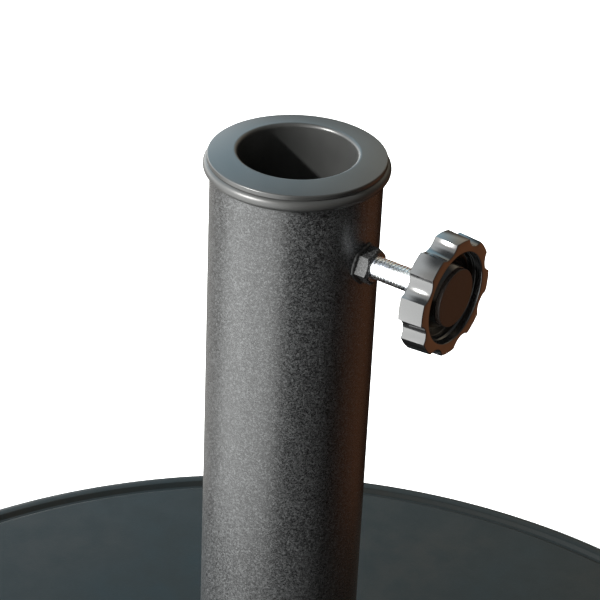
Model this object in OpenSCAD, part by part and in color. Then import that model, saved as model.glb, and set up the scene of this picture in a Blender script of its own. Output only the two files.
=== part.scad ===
// Weighted round parasol base with a socket tube, a reducer bush and a hand screw.
// Millimetres, +Z up. The origin is on the tube's axis, on the floor under the rubber feet.
// The hand screw lies along +X.

/* [Base disc] */
// Radius of the ballast disc
base_r = 266; // [200:1:340]
// Height of the disc's rim above the floor
base_h = 45; // [36:1:70]
// Radius of the rounded top edge
edge_fillet = 6; // [4:0.5:9]
// Distance from the edge in to the middle of the decorative groove
groove_in = 11.5; // [10:0.5:25]
// Radius of the round groove's section
groove_r = 3; // [2:0.5:4]
// Depth of the groove
groove_deep = 1.5; // [0.5:0.1:1.8]
// Wall of the moulded shell
shell_wall = 2.5; // [1.5:0.1:3.5]
// Height of the shell's lower edge above the floor
skirt_lift = 3; // [2:0.5:3.5]

/* [Underside] */
// Thickness of the underside cover
cover_t = 2.5; // [1.5:0.1:4]
// Gap between the cover's edge and the shell
cover_gap = 0.5; // [0.2:0.1:2]
// Thickness of a rubber foot under the cover
foot_t = 3.5; // [3.5:0.5:6]
// Radius of a rubber foot
foot_r = 15; // [8:1:25]
// Radius of the press stud on a rubber foot
stud_r = 4; // [2:0.5:6]
// Number of rubber feet
foot_count = 6; // [3:1:12]
// Distance from the disc's edge in to the feet
foot_in = 46; // [30:1:70]
// Number of cover screws
cover_screw_count = 6; // [3:1:12]
// Distance from the tube's axis to the cover screws
cover_screw_at = 150; // [110:1:180]
// Length of a cover screw under its head
cover_screw_len = 16; // [10:1:22]
// Diameter of a cover screw
cover_screw_d = 4; // [3:0.5:5]
// Height of a cover screw's head
cover_head_h = 1.8; // [1:0.1:2.5]
// Outer diameter of the plastic socket cast in for a cover screw
cover_socket_d = 8; // [7:0.5:12]
// Diameter of the drain hole
drain_d = 10; // [6:1:16]

/* [Socket tube] */
// Outer diameter of the tube
tube_d = 57; // [56:0.5:76]
// Wall of the tube
tube_wall = 1.5; // [1.2:0.1:2.5]
// Height of the bush's top face above the disc's rim
stand_h = 313.5; // [200:0.5:450]
// Diameter of the pole that the bush takes
pole_d = 38; // [25:0.5:40]
// Gap all round the pole
pole_gap = 0.5; // [0.1:0.1:0.5]

/* [Collar and reducer bush] */
// Height of the collar's rounded bead
bead_h = 4.1; // [3:0.1:6]
// How far the bead stands out past the tube
bead_over = 2.25; // [1:0.05:4]
// Depth of the collar's spigot in the tube
spigot_len = 19.5; // [12:0.5:20]
// Wall of the collar's spigot
spigot_wall = 2.2; // [1.5:0.1:2.5]
// Push-fit gap between the spigot and the tube
push_gap = 0.05; // [0.02:0.01:0.1]
// Thickness of the bush's flange at its edge
flange_t = 1.65; // [1:0.05:4]
// How far the flange's top rises from its edge in to the bore
flange_rise = 1.3; // [0.5:0.05:2]
// How far the flange stands out past the tube
flange_over = 1; // [0.2:0.1:2]
// Wall of the bush's sleeve
sleeve_wall = 2.2; // [1.5:0.1:2.4]
// Depth of the bush's sleeve under its flange
sleeve_len = 22.5; // [12:0.5:24]
// Radius of the rounded mouth of the bush
mouth_fillet = 1.3; // [0.5:0.1:2]
// Number of ribs round the sleeve
rib_count = 8; // [4:1:16]
// Thickness of a rib
rib_t = 2; // [1:0.1:3]
// Gap between the ribs and the collar
slide_gap = 0.35; // [0.3:0.05:0.6]

/* [Hand screw] */
// Depth of the screw's axis below the bush's top face
screw_drop = 31.5; // [31.5:0.5:60]
// Outer diameter of the screw's thread
screw_d = 7.84; // [7.8:0.01:7.9]
// Pitch of the thread
pitch = 1.25; // [1:0.05:1.5]
// Depth of the thread
thread_deep = 0.65; // [0.4:0.05:0.7]
// Running gap round the screw in its nut
thread_gap = 0.08; // [0.05:0.01:0.1]
// Gap round the screw where it passes the tube's wall
wall_gap = 0.35; // [0.3:0.05:1]
// Width of the nut across its flats
nut_af = 11; // [11:0.5:14]
// Radius of the flat face inside the nut's chamfer
nut_face_r = 5; // [4.6:0.1:5.4]
// How far the nut's face stands out from the tube
nut_out = 4.7; // [4:0.1:8]
// Turn of the nut away from a corner straight up, in degrees
nut_turn = 18; // [0:1:59]
// Length of the weld bead along the nut
weld_h = 1; // [0.6:0.1:3]
// Leg of the weld bead on the tube
weld_w = 0.9; // [0.5:0.1:2.5]
// Length of thread that shows between the nut and the knob's hub
thread_show = 16.8; // [10:0.1:30]
// Width of the screw's head across its flats
head_af = 13; // [12:0.5:13]
// Height of the screw's head
head_h = 5.5; // [4:0.1:6]
// Radius of the thrust pad in the screw's tip
pad_r = 2.2; // [1.5:0.1:2.4]
// Running gap round the thrust pad
pad_gap = 0.08; // [0.05:0.01:0.1]
// Length of the thrust pad
pad_len = 7; // [5:0.5:9]
// How far the pad stands out of the screw's tip
pad_out = 2; // [1:0.1:3]

/* [Knob] */
// Radius over the lobes
knob_r = 20.2; // [19:0.1:26]
// Thickness of the lobed rim
knob_t = 8.6; // [7.5:0.1:12]
// Number of lobes
lobe_count = 8; // [5:1:10]
// Depth of the hollows between the lobes
notch_deep = 2.3; // [1:0.1:3]
// Radius of the hollows between the lobes
notch_r = 5.3; // [4:0.1:8]
// Turn of a lobe away from straight up, in degrees
lobe_turn = 6.1; // [0:0.1:44]
// Inner radius of the lobed rim
rim_in_r = 15.5; // [14.5:0.1:15.8]
// Depth of the ring-shaped recess in the face
recess_deep = 5; // [3:0.1:5.5]
// Thickness of the web behind the recess
web_t = 1.5; // [1:0.1:2]
// Radius of the cap in the middle of the face
cap_r = 9.8; // [9.5:0.1:10.5]
// Thickness of the cap
cap_t = 1.5; // [1:0.1:2]
// Depth of the cap's spigot
cap_spigot = 1; // [0.5:0.1:1.5]
// Extra radius of the boss at the recess floor
boss_spread = 2.7; // [0:0.1:3.5]
// Length of the hub behind the rim
hub_len = 5; // [3:0.1:8]
// Radius of the hub's end
hub_r = 7.5; // [6:0.1:8]
// How far the hub flares out toward the rim
hub_flare = 2; // [0:0.1:3]

/* [Foot of the tube] */
// How far the steel foot flange stands out past the tube
foot_flange_over = 31.5; // [28:0.5:45]
// Thickness of the foot flange
foot_flange_t = 5; // [4:0.5:8]
// Distance from the tube's surface out to the bolts
bolt_out = 16.5; // [14:0.5:17]
// Number of flange bolts
bolt_count = 4; // [3:1:6]
// Diameter of a flange bolt
bolt_d = 8; // [6:0.5:8]
// Length of a flange bolt under its head
bolt_len = 30; // [25:1:32]
// Width of a bolt's head across its flats
bolt_af = 13; // [10:0.5:13]
// Height of a bolt's head
bolt_head_h = 5.3; // [4:0.1:6]
// Thickness of a washer
washer_t = 1.6; // [1:0.1:2]
// Radius of a washer
washer_r = 8; // [7.5:0.1:9]
// Radius of a threaded insert cast in the ballast
insert_r = 6.5; // [6:0.1:8]
// Leg of the weld between the tube and its flange
foot_weld_w = 4; // [2:0.5:5]
// Height of the foot cover over the disc
foot_cover_h = 22; // [19:0.5:40]
// Wall of the foot cover
foot_cover_wall = 2; // [1.5:0.1:3]
// Gap between the foot flange and the foot cover
foot_cover_gap = 3; // [1:0.5:6]
// Gap between the foot cover and the tube
foot_cover_fit = 0.2; // [0.1:0.1:0.5]

/* [Pole seat] */
// Height of the pole seat in the tube
seat_h = 30; // [20:1:50]
// Thickness of the seat's floor
seat_floor = 4; // [2:0.5:6]
// Depth of the seat's wide upper step
seat_step = 13; // [6:1:15]
// Wall of the seat at its upper step
seat_wall = 2.2; // [1.5:0.1:3]
// Gap between the seat and the tube
seat_gap = 0.2; // [0.1:0.05:0.5]

/* [Hidden] */

$fn = 96;
cut = 1;                // how far a cutting shape runs past the face it cuts
clear = 0.2;            // gap round a bolt or screw in its hole
foot_start = 30;        // angle of the first foot
bolt_start = 45;        // angle of the first flange bolt
rib_start = 11.25;      // angle of the bush's first rib
rib_inset = 0.1;        // keeps a rib's corners inside the ribs' radius
foot_chamfer = 1;       // chamfer round a foot's face
stud_room = 1;          // depth of the hollow over a press stud
socket_end = 1.5;       // closed end of a cover screw's socket
insert_end = 2;         // closed end of a threaded insert
bolt_room = 2;          // room under a bolt's tip in its insert
head_taper = 0.7;       // face of a cover screw's head, as a part of its width
chamfer_angle = 30;     // slope of the nut's chamfer
weld_land = 0.25;       // how far the weld's top stands out past the nut's corners
weld_root = 2;          // how far the weld reaches in, so that it meets the round of the tube
thread_lead = 0.3;      // plain part before the first ring of thread, in turns
core_step = 1;          // how much wider the rim's hollow is behind the web than before it
spigot_land = 0.7;      // how far the cap's spigot stands out past the head's corners
pad_chamfer = 0.6;      // chamfer round the pad's tip

// Base disc, from the floor up
cover_z = foot_t;
core_z = cover_z + cover_t;
core_top = base_h - shell_wall;
cover_r = base_r - shell_wall - cover_gap;
groove_at = base_r - groove_in;
foot_at = base_r - foot_in;
cover_screw_r = cover_screw_d / 2;
cover_socket_top = core_z + cover_screw_len + socket_end;

// Tube and foot
tube_r = tube_d / 2;
bore_r = tube_r - tube_wall;
flange_z = base_h + foot_flange_t;
foot_flange_r = tube_r + foot_flange_over;
bolt_at = tube_r + bolt_out;
bolt_r = bolt_d / 2;
bolt_head_z = flange_z + washer_t;
bolt_tip_z = bolt_head_z - bolt_len;
bolt_hole_z = bolt_tip_z - bolt_room;
insert_z = bolt_hole_z - insert_end;
foot_cover_r = foot_flange_r + foot_cover_gap + foot_cover_wall;

// Pole seat
pole_hole_r = pole_d / 2 + pole_gap;
seat_r = bore_r - seat_gap;
seat_top = flange_z + seat_h;

// Collar and bush, from the top down
top_z = base_h + stand_h;
flange_edge = top_z - flange_rise;
collar_top = flange_edge - flange_t;
tube_top = collar_top - bead_h;
bead_r = bead_h / 2;
bead_at = tube_r + bead_over - bead_r;
spigot_r = bore_r - push_gap;
collar_bore_r = spigot_r - spigot_wall;
sleeve_r = pole_hole_r + sleeve_wall;
rib_r = collar_bore_r - slide_gap;
bush_flange_r = tube_r + flange_over;

// Hand screw, as distances out from the tube's axis
screw_z = top_z - screw_drop;
screw_r = screw_d / 2;
nut_bore_r = screw_r + thread_gap;
nut_face = tube_r + nut_out;
pad_tip = bore_r;
screw_tip = pad_tip + pad_out;
hub_end = nut_face + thread_show;
rim_back = hub_end + hub_len;
knob_face = rim_back + knob_t;
cap_seat = knob_face - cap_t;
head_top = cap_seat - cap_spigot;
head_base = head_top - head_h;
recess_floor = knob_face - recess_deep;
web_back = recess_floor - web_t;
boss_r = cap_r + boss_spread;
core_out_r = rim_in_r + core_step;
hub_root_r = hub_r + hub_flare;

// Radius over the corners of a hexagon from its width across the flats
function corner_r(af) = af / sqrt(3);

cap_spigot_r = corner_r(head_af) + spigot_land;

// A zigzag outline of ring-shaped threads from one height to another
function thread_outline(from, to, outer, deep) =
    let (turns = floor((to - from) / pitch))
    concat([[0, from], [outer - deep, from]],
        [for (i = [0 : turns - 1], half = [0, 1])
            [outer - (half == 0 ? deep : 0), from + (i + thread_lead + half / 2) * pitch]],
        [[outer - deep, from + (turns + thread_lead) * pitch], [outer - deep, to], [0, to]]);

// Copies spaced evenly round the tube's axis
module round_axis(count, radius, start = 0) {
    for (i = [0 : count - 1])
        rotate([0, 0, start + i * 360 / count]) translate([radius, 0, 0]) children();
}

// A place on the hand screw's axis, with local Z along the screw
module on_screw(distance) {
    translate([distance, 0, screw_z]) rotate([0, 90, 0]) children();
}

// A vertical cylinder from one height to another
module post(from, to, radius) {
    translate([0, 0, from]) cylinder(h = to - from, r = radius);
}

// A ring round the hand screw, from one distance to another
module screw_post(from, to, radius, end_radius = -1) {
    on_screw(from) cylinder(h = to - from, r1 = radius, r2 = end_radius < 0 ? radius : end_radius);
}

// A hexagonal prism of a given width across its flats
module hex_prism(height, af) {
    cylinder(h = height, r = corner_r(af), $fn = 6);
}

// Half section of the disc, drawn smaller by an inset all round
module disc_section(inset, bottom) {
    fillet = edge_fillet - inset;
    difference() {
        union() {
            translate([0, bottom]) square([base_r - edge_fillet, base_h - inset - bottom]);
            translate([0, bottom]) square([base_r - inset, base_h - edge_fillet - bottom]);
            translate([base_r - edge_fillet, base_h - edge_fillet]) circle(r = fillet);
        }
        translate([groove_at, base_h - groove_deep + groove_r]) circle(r = groove_r + inset);
    }
}

// Drain hole on the tube's axis
module drain(from, to) {
    post(from - cut, to + cut, drain_d / 2);
}

// Moulded skin over the top and side of the ballast
module ballast_shell() {
    color("darkslategray") difference() {
        rotate_extrude($fn = 180) difference() {
            disc_section(0, skirt_lift);
            disc_section(shell_wall, skirt_lift - cut);
        }
        round_axis(bolt_count, bolt_at, bolt_start) post(core_top - cut, base_h + cut, insert_r);
        drain(core_top, base_h);
    }
}

// Ballast cast inside the shell
module concrete_core() {
    color("gray") difference() {
        rotate_extrude($fn = 180) disc_section(shell_wall, core_z);
        round_axis(bolt_count, bolt_at, bolt_start) post(insert_z, core_top + cut, insert_r);
        round_axis(cover_screw_count, cover_screw_at)
            post(core_z - cut, cover_socket_top, cover_socket_d / 2);
        round_axis(foot_count, foot_at, foot_start) post(core_z - cut, core_z + stud_room, stud_r + clear);
        drain(core_z, core_top);
    }
}

// Flat plate that closes the underside
module bottom_cover() {
    color("dimgray") difference() {
        translate([0, 0, cover_z]) cylinder(h = cover_t, r = cover_r, $fn = 180);
        round_axis(cover_screw_count, cover_screw_at)
            post(cover_z - cut, core_z + cut, cover_screw_r + clear);
        round_axis(foot_count, foot_at, foot_start) post(cover_z - cut, core_z + cut, stud_r);
        drain(cover_z, core_z);
    }
}

// Rubber feet with press studs through the cover
module rubber_feet() {
    color("black") round_axis(foot_count, foot_at, foot_start) {
        cylinder(h = foot_chamfer, r1 = foot_r - foot_chamfer, r2 = foot_r);
        post(foot_chamfer, foot_t, foot_r);
        post(foot_t, core_z, stud_r);
    }
}

// Pan-head screws that hold the cover
module cover_screws() {
    color("silver") round_axis(cover_screw_count, cover_screw_at) {
        translate([0, 0, cover_z - cover_head_h])
            cylinder(h = cover_head_h, r1 = cover_screw_d * head_taper, r2 = cover_screw_d);
        post(cover_z, core_z + cover_screw_len, cover_screw_r);
    }
}

// Plastic sockets cast in the ballast for the cover screws
module cover_sockets() {
    color("white") round_axis(cover_screw_count, cover_screw_at) difference() {
        post(core_z, cover_socket_top, cover_socket_d / 2);
        post(core_z - cut, core_z + cover_screw_len, cover_screw_r);
    }
}

// Upright steel tube with a hole for the hand screw
module tube() {
    color("#34373a") difference() {
        post(flange_z, tube_top, tube_r);
        post(flange_z - cut, tube_top + cut, bore_r);
        screw_post(bore_r / 2, tube_r + cut, screw_r + wall_gap);
    }
}

// Steel flange under the tube
module foot_flange() {
    color("#34373a") difference() {
        post(base_h, flange_z, foot_flange_r);
        round_axis(bolt_count, bolt_at, bolt_start) post(base_h - cut, flange_z + cut, bolt_r + clear);
        drain(base_h, flange_z);
    }
}

// Fillet weld between the tube and its flange
module foot_weld() {
    color("#3c3f42") rotate_extrude()
        polygon([[tube_r, flange_z], [tube_r + foot_weld_w, flange_z], [tube_r, flange_z + foot_weld_w]]);
}

// Hexagon-head bolts through the flange
module flange_bolts() {
    color("silver") round_axis(bolt_count, bolt_at, bolt_start) {
        translate([0, 0, bolt_head_z]) hex_prism(bolt_head_h, bolt_af);
        post(bolt_tip_z, bolt_head_z, bolt_r);
    }
}

// Flat washers under the bolt heads
module flange_washers() {
    color("silver") round_axis(bolt_count, bolt_at, bolt_start) difference() {
        post(flange_z, bolt_head_z, washer_r);
        post(flange_z - cut, bolt_head_z + cut, bolt_r + clear);
    }
}

// Threaded inserts cast in the ballast
module bolt_inserts() {
    color("goldenrod") round_axis(bolt_count, bolt_at, bolt_start) difference() {
        post(insert_z, base_h, insert_r);
        post(bolt_hole_z, base_h + cut, bolt_r);
    }
}

// Moulded cover over the flange and its bolts
module foot_cover() {
    draft = 1;          // lean of the side, and bevel of the neck's edge
    shoulder = 2;       // height of the bevel over the side
    neck_h = 5;         // height of the neck
    head_room = 1;      // room over the bolt heads
    top = base_h + foot_cover_h;
    side_top = bolt_head_z + bolt_head_h + head_room;
    neck_r = tube_r + foot_cover_fit;
    neck_out = neck_r + foot_cover_wall + draft;
    inner_r = foot_cover_r - foot_cover_wall;
    color("#2b2e30") rotate_extrude() difference() {
        polygon([[neck_r, base_h], [foot_cover_r, base_h], [foot_cover_r - draft, side_top - shoulder],
            [foot_cover_r - 2 * shoulder, side_top + foot_cover_wall], [neck_out, top - shoulder],
            [neck_out - draft, top], [neck_r, top]]);
        polygon([[neck_r - cut, base_h - cut], [inner_r, base_h - cut], [inner_r, base_h],
            [inner_r - draft, side_top - shoulder], [inner_r - draft - shoulder, side_top],
            [neck_out, top - neck_h], [neck_r - cut, top - neck_h]]);
    }
}

// Stepped cup that centres the pole's lower end
module pole_seat() {
    wide_r = seat_r - seat_wall;
    color("#222426") difference() {
        post(flange_z, seat_top, seat_r);
        post(seat_top - seat_step, seat_top + cut, wide_r);
        post(flange_z + seat_floor, seat_top, pole_hole_r);
        drain(flange_z, flange_z + seat_floor);
    }
}

// Ring with a rounded bead on the tube's mouth and a spigot inside it
module top_collar() {
    color("#33383c") rotate_extrude() {
        translate([bead_at, tube_top + bead_r]) intersection() {
            circle(r = bead_r);
            translate([0, -bead_r]) square([bead_r, bead_h]);
        }
        translate([collar_bore_r, tube_top]) square([bead_at - collar_bore_r, bead_h]);
        translate([collar_bore_r, tube_top - spigot_len]) square([spigot_wall, spigot_len]);
    }
}

// Removable bush that narrows the socket to the pole
module reducer_bush() {
    bottom = collar_top - sleeve_len;
    mouth_r = pole_hole_r + mouth_fillet;
    rib_root_r = sleeve_r - sleeve_wall / 2;
    color("#3c4a56") {
        rotate_extrude() difference() {
            union() {
                polygon([[pole_hole_r, collar_top], [bush_flange_r, collar_top],
                    [bush_flange_r, flange_edge], [mouth_r, top_z], [pole_hole_r, top_z]]);
                translate([pole_hole_r, bottom]) square([sleeve_wall, sleeve_len]);
            }
            difference() {
                translate([pole_hole_r - cut, top_z - mouth_fillet]) square(mouth_fillet + cut);
                translate([mouth_r, top_z - mouth_fillet]) circle(r = mouth_fillet);
            }
        }
        round_axis(rib_count, 0, rib_start) translate([rib_root_r, -rib_t / 2, bottom])
            cube([rib_r - rib_inset - rib_root_r, rib_t, sleeve_len]);
    }
}

// Hexagon nut welded on the tube, chamfered at its outer face
module weld_nut() {
    height = nut_face - bore_r;
    cone_r = nut_af;
    cone_foot = height - (cone_r - nut_face_r) * tan(chamfer_angle);
    color("#2e3133") difference() {
        on_screw(bore_r) intersection() {
            rotate([0, 0, -nut_turn]) hex_prism(height, nut_af);
            rotate_extrude() polygon([[0, -cut], [cone_r, -cut], [cone_r, cone_foot], [nut_face_r, height],
                [0, height]]);
        }
        post(screw_z - nut_af, screw_z + nut_af, tube_r);
        screw_post(bore_r - cut, nut_face + cut, nut_bore_r);
    }
}

// Weld bead round the nut's foot
module nut_weld() {
    top_r = corner_r(nut_af) + weld_land;
    color("#26292b") difference() {
        screw_post(tube_r - weld_root, tube_r + weld_h, top_r + weld_w, top_r);
        on_screw(bore_r) rotate([0, 0, -nut_turn]) hex_prism(nut_face - bore_r, nut_af);
        post(screw_z - 2 * nut_af, screw_z + 2 * nut_af, tube_r);
    }
}

// Threaded rod with a hexagon head moulded in the knob
module lock_screw() {
    color("#d9dde0") difference() {
        union() {
            on_screw(0) rotate_extrude() polygon(thread_outline(screw_tip, hub_end, screw_r, thread_deep));
            screw_post(hub_end, head_base, screw_r);
            on_screw(head_base) rotate([0, 0, 180 - lobe_turn]) hex_prism(head_h, head_af);
        }
        screw_post(screw_tip - cut, pad_tip + pad_len, pad_r + pad_gap);
    }
}

// Lobed hand knob with a ring-shaped recess in its face
module knob_body() {
    color("#17191b") difference() {
        union() {
            difference() {
                screw_post(rim_back, knob_face, knob_r);
                for (i = [0 : lobe_count - 1])
                    on_screw(rim_back - cut) rotate([0, 0, 180 - lobe_turn + (i + 0.5) * 360 / lobe_count])
                        translate([knob_r - notch_deep + notch_r, 0, 0])
                            cylinder(h = knob_t + 2 * cut, r = notch_r);
                screw_post(rim_back - cut, web_back, core_out_r);
                screw_post(recess_floor, knob_face + cut, rim_in_r);
            }
            screw_post(hub_end, rim_back, hub_r, hub_root_r);
            screw_post(rim_back, web_back, hub_root_r);
            screw_post(recess_floor, cap_seat, boss_r, cap_r);
        }
        screw_post(hub_end - cut, head_base + cut, screw_r);
        on_screw(head_base) rotate([0, 0, 180 - lobe_turn]) hex_prism(head_h + cut, head_af);
        screw_post(head_top, cap_seat + cut, cap_spigot_r);
    }
}

// Cap that closes the knob's middle
module knob_cap() {
    color("#3a2f28") {
        screw_post(head_top, cap_seat, cap_spigot_r);
        screw_post(cap_seat, knob_face, cap_r);
    }
}

// Nylon pad in the screw's tip, which presses on the pole
module thrust_pad() {
    color("ivory") {
        screw_post(pad_tip, pad_tip + pad_chamfer, pad_r - pad_chamfer, pad_r);
        screw_post(pad_tip + pad_chamfer, pad_tip + pad_len, pad_r);
    }
}

ballast_shell();
concrete_core();
bottom_cover();
rubber_feet();
cover_screws();
cover_sockets();
tube();
foot_flange();
foot_weld();
flange_bolts();
flange_washers();
bolt_inserts();
foot_cover();
pole_seat();
top_collar();
reducer_bush();
weld_nut();
nut_weld();
lock_screw();
knob_body();
knob_cap();
thrust_pad();
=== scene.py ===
"""Looks of a weighted round parasol base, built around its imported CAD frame.

Every length is in metres in the frame of the part: the origin is on the tube's axis at floor level, +Z is up
and the hand screw lies along +X.
"""

import logging
import math
from collections.abc import Sequence
from dataclasses import dataclass, field
from enum import Enum
from functools import cache

import bmesh
import bpy
from mathutils import Matrix, Vector, noise


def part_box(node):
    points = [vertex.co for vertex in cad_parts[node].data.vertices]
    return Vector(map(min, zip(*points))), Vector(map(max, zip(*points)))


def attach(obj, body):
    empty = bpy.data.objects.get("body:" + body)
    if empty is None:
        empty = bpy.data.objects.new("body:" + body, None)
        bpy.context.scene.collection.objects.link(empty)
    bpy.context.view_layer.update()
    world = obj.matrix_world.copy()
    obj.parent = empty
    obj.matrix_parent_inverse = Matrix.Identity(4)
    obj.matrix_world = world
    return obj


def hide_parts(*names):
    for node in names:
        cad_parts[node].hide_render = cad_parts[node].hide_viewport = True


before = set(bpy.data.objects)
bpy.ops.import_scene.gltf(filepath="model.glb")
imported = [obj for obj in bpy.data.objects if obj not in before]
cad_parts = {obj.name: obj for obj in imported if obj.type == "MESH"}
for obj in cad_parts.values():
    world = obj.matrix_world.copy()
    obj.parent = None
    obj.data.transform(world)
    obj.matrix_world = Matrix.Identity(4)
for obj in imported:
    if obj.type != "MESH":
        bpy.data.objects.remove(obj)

MM = 0.001
LOG = logging.getLogger("parasol_base")
Colour = tuple[float, float, float]
Limits = tuple[float, float]


class Body(Enum):
    """Moving bodies of the part, by their names in the record."""

    BASE = "base"
    BUSH = "bush"
    PAD = "pad"
    HAND_SCREW = "hand_screw"


# ------------------------------------------------------------------------------------------ shaders


class Value:
    """One shader output, on which Python's operators add Math nodes."""

    def __init__(self, net: "Wiring", socket: bpy.types.NodeSocket) -> None:
        """Wraps a socket of a node tree."""
        self.net = net
        self.socket = socket

    def math(self, operation: str, *others: "Value | float") -> "Value":
        """Adds a Math node with this value as its first input.

        Args:
            operation: the Math node's operation.
            others: its further inputs.

        Returns:
            The node's result.
        """
        inputs = dict(enumerate((self, *others)))
        return self.net.add("ShaderNodeMath", {"operation": operation}, inputs)

    def __add__(self, other: "Value | float") -> "Value":
        """Sum."""
        return self.math("ADD", other)

    def __radd__(self, other: float) -> "Value":
        """Sum, from the right."""
        return self.math("ADD", other)

    def __sub__(self, other: "Value | float") -> "Value":
        """Difference."""
        return self.math("SUBTRACT", other)

    def __mul__(self, other: "Value | float") -> "Value":
        """Product."""
        return self.math("MULTIPLY", other)

    def step(self, low: float, high: float) -> "Value":
        """Smooth step from 0 at low to 1 at high."""
        settings = {"interpolation_type": "SMOOTHSTEP"}
        inputs = {"Value": self, "From Min": low, "From Max": high}
        return self.net.add("ShaderNodeMapRange", settings, inputs)


class Wiring:
    """Node tree that nodes are added to and joined up in."""

    def __init__(self, tree: bpy.types.NodeTree) -> None:
        """Starts from an empty tree."""
        self.tree = tree
        self.tree.nodes.clear()

    def add(self, kind: str, settings: dict | None = None, inputs: dict | None = None,
            output: str | int = 0) -> Value:
        """Adds one node.

        Args:
            kind: the node's type.
            settings: attributes set first.
            inputs: values or links, by socket identifier, name or number.
            output: which output to return, by identifier, name or number.

        Returns:
            That output.
        """
        node = self.tree.nodes.new(kind)
        for key, value in (settings or {}).items():
            setattr(node, key, value)
        for key, value in (inputs or {}).items():
            self.feed(self.find(node.inputs, key), value)
        return Value(self, self.find(node.outputs, output))

    @staticmethod
    def find(sockets: bpy.types.bpy_prop_collection, key: str | int) -> bpy.types.NodeSocket:
        """Finds a socket by number, identifier or name."""
        if isinstance(key, int):
            return sockets[key]
        for socket in sockets:
            if socket.identifier == key:
                return socket
        return sockets[key]

    def feed(self, socket: bpy.types.NodeSocket, value: "Value | float | tuple") -> None:
        """Links or sets one input socket."""
        if isinstance(value, Value):
            self.tree.links.new(value.socket, socket)
        elif isinstance(value, tuple) and socket.type == "RGBA":
            socket.default_value = (*value, 1.0)[:4]
        else:
            socket.default_value = value

    def mix(self, factor: "Value | float", first: "Value | tuple", second: "Value | tuple") -> Value:
        """Mixes two colours."""
        inputs = {"Factor_Float": factor, "A_Color": first, "B_Color": second}
        return self.add("ShaderNodeMix", {"data_type": "RGBA"}, inputs, "Result_Color")


class Net(Wiring):
    """Node tree of one material, with its Principled shader."""

    def __init__(self, name: str) -> None:
        """Starts an empty material.

        Args:
            name: the material's name.
        """
        self.material = bpy.data.materials.new(name)
        self.material.use_nodes = True
        super().__init__(self.material.node_tree)
        self.shader = self.tree.nodes.new("ShaderNodeBsdfPrincipled")
        output = self.tree.nodes.new("ShaderNodeOutputMaterial")
        self.tree.links.new(self.shader.outputs[0], output.inputs[0])
        self.place = self.add("ShaderNodeTexCoord", output="Object")

    def set(self, **values: "Value | float | tuple") -> None:
        """Sets or links inputs of the Principled shader, with _ for a space in a name."""
        for key, value in values.items():
            self.feed(self.shader.inputs[key.replace("_", " ")], value)

    def noise(self, size: float, detail: float = 3.0, rough: float = 0.5) -> Value:
        """Noise of about 0 to 1 with blotches of a given size in metres."""
        inputs = {"Vector": self.place, "Scale": 1.0 / size, "Detail": detail, "Roughness": rough}
        return self.add("ShaderNodeTexNoise", {}, inputs, "Fac")

    def cells(self, size: float, output: str = "Distance") -> Value:
        """Voronoi cells of a given size in metres."""
        inputs = {"Vector": self.place, "Scale": 1.0 / size}
        return self.add("ShaderNodeTexVoronoi", {}, inputs, output)

    def flecks(self, size: float, channel: str) -> Value:
        """Cells of a given size in metres, each with a steady value of its own from 0 to 1."""
        colour = self.cells(size, "Color")
        return self.add("ShaderNodeSeparateColor", {}, {"Color": colour}, channel)

    def bump(self, height: Value, depth: float) -> None:
        """Feeds the Normal socket from a height of 0 to 1 that stands for a depth in metres."""
        inputs = {"Height": height, "Distance": depth, "Strength": 1.0}
        self.set(Normal=self.add("ShaderNodeBump", {}, inputs, "Normal"))


@dataclass(frozen=True)
class Finish:
    """Base of all finishes: a name, a colour and a mean roughness."""

    name: str
    colour: Colour
    roughness: float = 0.5

    def paint(self, net: Net) -> None:
        """Adds the nodes of this finish."""
        raise NotImplementedError

    @cache
    def make(self) -> bpy.types.Material:
        """Builds the material once and returns it."""
        net = Net(self.name + "_finish")
        self.paint(net)
        return net.material

    def shade(self, scale: float) -> Colour:
        """This finish's colour, lighter or darker."""
        return tuple(part * scale for part in self.colour)


@dataclass(frozen=True)
class PowderCoat(Finish):
    """Black powder coat with metal flakes: orange peel, fine sparkle and a slightly cloudy gloss."""

    flake: float = 0.42 * MM
    flake_colour: Colour = (0.55, 0.57, 0.58)
    cover: float = 0.09
    peel: float = 0.024 * MM

    def paint(self, net: Net) -> None:
        """Adds the coat's nodes."""
        coarse = net.flecks(self.flake, "Red")
        fine = net.flecks(self.flake * 0.55, "Green")
        cloud = net.noise(35 * MM)
        flakes = (coarse.step(0.5, 0.95) * 0.75 + fine.step(0.5, 0.95) * 0.65) * self.cover
        ground = net.mix(cloud.step(0.3, 0.7), self.shade(0.85), self.shade(1.15))
        net.set(Base_Color=net.mix(flakes, ground, self.flake_colour))
        net.set(Metallic=flakes)
        net.set(Roughness=self.roughness + (fine - 0.5) * 0.12 + (cloud - 0.5) * 0.06)
        net.bump(net.noise(0.5 * MM, 2.0) * 0.6 + coarse * 0.4, self.peel)


@dataclass(frozen=True)
class MouldedPlastic(Finish):
    """Moulded plastic: a faint grain, soft flow marks and small scuffs."""

    grain: float = 0.35 * MM
    grain_deep: float = 0.006 * MM
    flow: float = 18 * MM
    coat: float = 0.0
    specular: float = 0.5

    def paint(self, net: Net) -> None:
        """Adds the plastic's nodes."""
        flow = net.noise(self.flow, 4.0, 0.55)
        grain = net.noise(self.grain, 2.0)
        scuffs = net.noise(2.2 * MM, 6.0, 0.75).step(0.62, 0.74)
        net.set(Base_Color=net.mix(flow.step(0.3, 0.7), self.shade(0.88), self.shade(1.14)))
        net.set(Roughness=self.roughness + (flow - 0.5) * 0.12 + scuffs * 0.08 + (grain - 0.5) * 0.05)
        net.set(Coat_Weight=self.coat, Coat_Roughness=0.06, Specular_IOR_Level=self.specular)
        net.bump(grain * 0.7 + scuffs * 0.3, self.grain_deep)


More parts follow.
